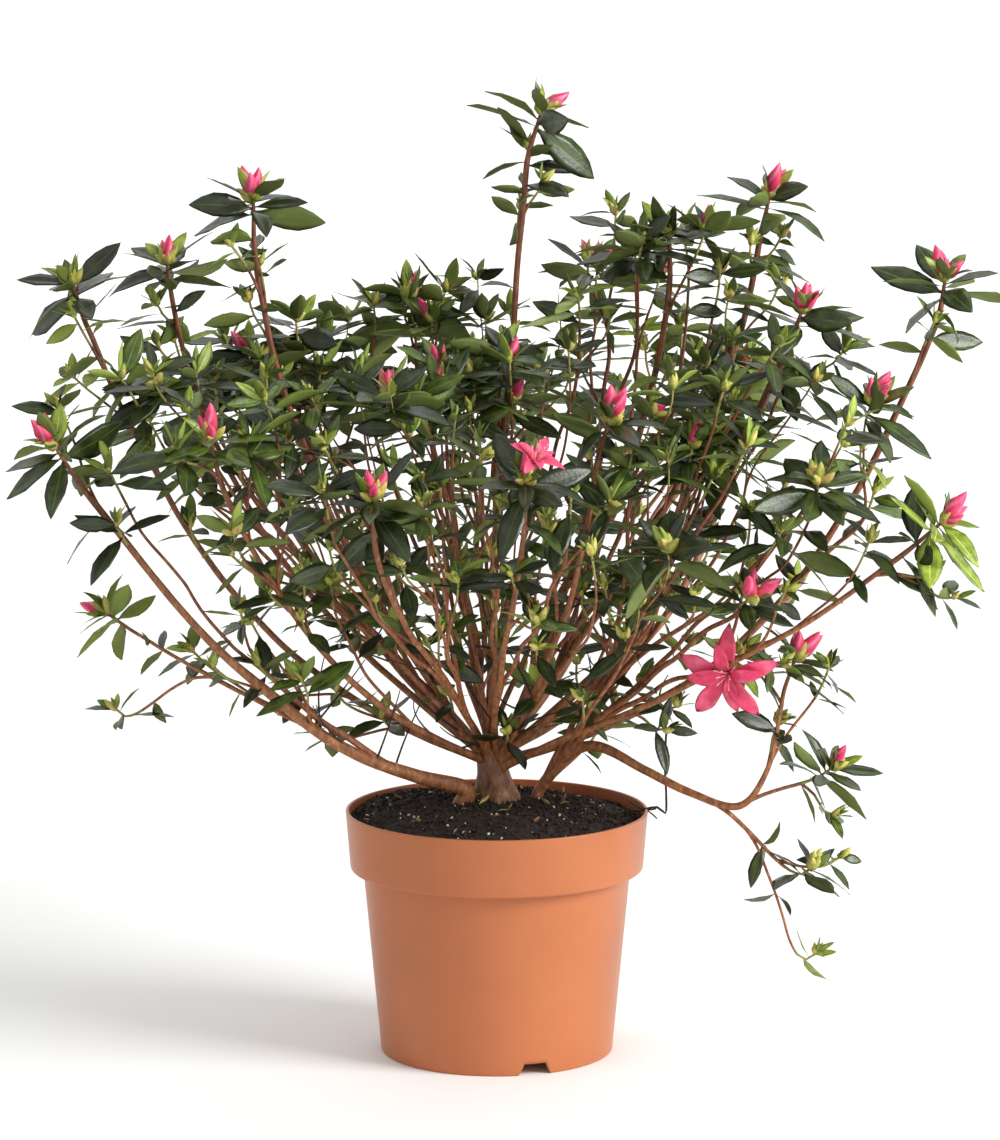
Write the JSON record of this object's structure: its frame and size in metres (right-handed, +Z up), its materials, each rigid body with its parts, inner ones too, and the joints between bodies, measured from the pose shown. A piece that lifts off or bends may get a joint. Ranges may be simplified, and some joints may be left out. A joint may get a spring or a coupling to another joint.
{
  "type": "potted evergreen azalea",
  "caption": "Evergreen azalea shrub in bud in a round plastic nursery pot, with slender boughs fanning out from a short stump under open tufts of leaves.",
  "frame": {"origin": "middle of the pot's flat underside, on the ground", "axes": "+Z up along the pot's axis, -Y towards the front of the plant, +X to its right"},
  "size_m": [0.631, 0.5121, 0.6155],
  "materials": {
    "pot": "satin",
    "compost": "matte",
    "bark": "matte",
    "leaves": "satin"
  },
  "bodies": {
    "root": {"pot": "pot", "compost": "compost", "stump": "bark", "bough_left_sweep": "bark", "bough_left_rise": "bark", "bough_left_low": "bark", "bough_tall_leader": "bark", "bough_left_leader": "bark", "bough_left_back": "bark", "bough_far_left_upper": "bark", "bough_right_leader": "bark", "bough_mid_right_leader": "bark", "bough_far_right_upper": "bark", "bough_far_right": "bark", "bough_right_crest": "bark", "bough_arch_riser": "bark", "bough_arch_runner": "bark", "bough_arch_rise": "bark", "bough_front_centre": "bark", "bough_front_left": "bark", "bough_front_far_left": "bark", "bough_front_right": "bark", "bough_back_left": "bark", "bough_back_right": "bark", "bough_back": "bark", "leaves_crown_tip": "leaves", "leaves_left_leader": "leaves", "leaves_left_back": "leaves", "leaves_far_left_upper": "leaves", "leaves_far_left": "leaves", "leaves_left_low": "leaves", "leaves_right_leader": "leaves", "leaves_mid_right": "leaves", "leaves_back_right_top": "leaves", "leaves_far_right_upper": "leaves", "leaves_right_shoulder": "leaves", "leaves_far_right": "leaves", "leaves_right_crest": "leaves", "leaves_low_right": "leaves", "leaves_low_right_tip": "leaves", "leaves_low_right_hang": "leaves", "leaves_right_low": "leaves", "leaves_front_left_high": "leaves", "leaves_front_far_left": "leaves", "leaves_front_left": "leaves", "leaves_front_centre": "leaves", "leaves_front_right": "leaves", "leaves_front_right_low": "leaves", "leaves_left_side": "leaves", "leaves_centre": "leaves", "leaves_centre_back_left": "leaves", "leaves_right_side": "leaves", "leaves_right_front": "leaves", "leaves_left_inner": "leaves", "leaves_lower_left": "leaves", "leaves_lower_right": "leaves", "leaves_back_left": "leaves", "leaves_back": "leaves", "leaves_back_right": "leaves"}
  },
  "joints": []
}
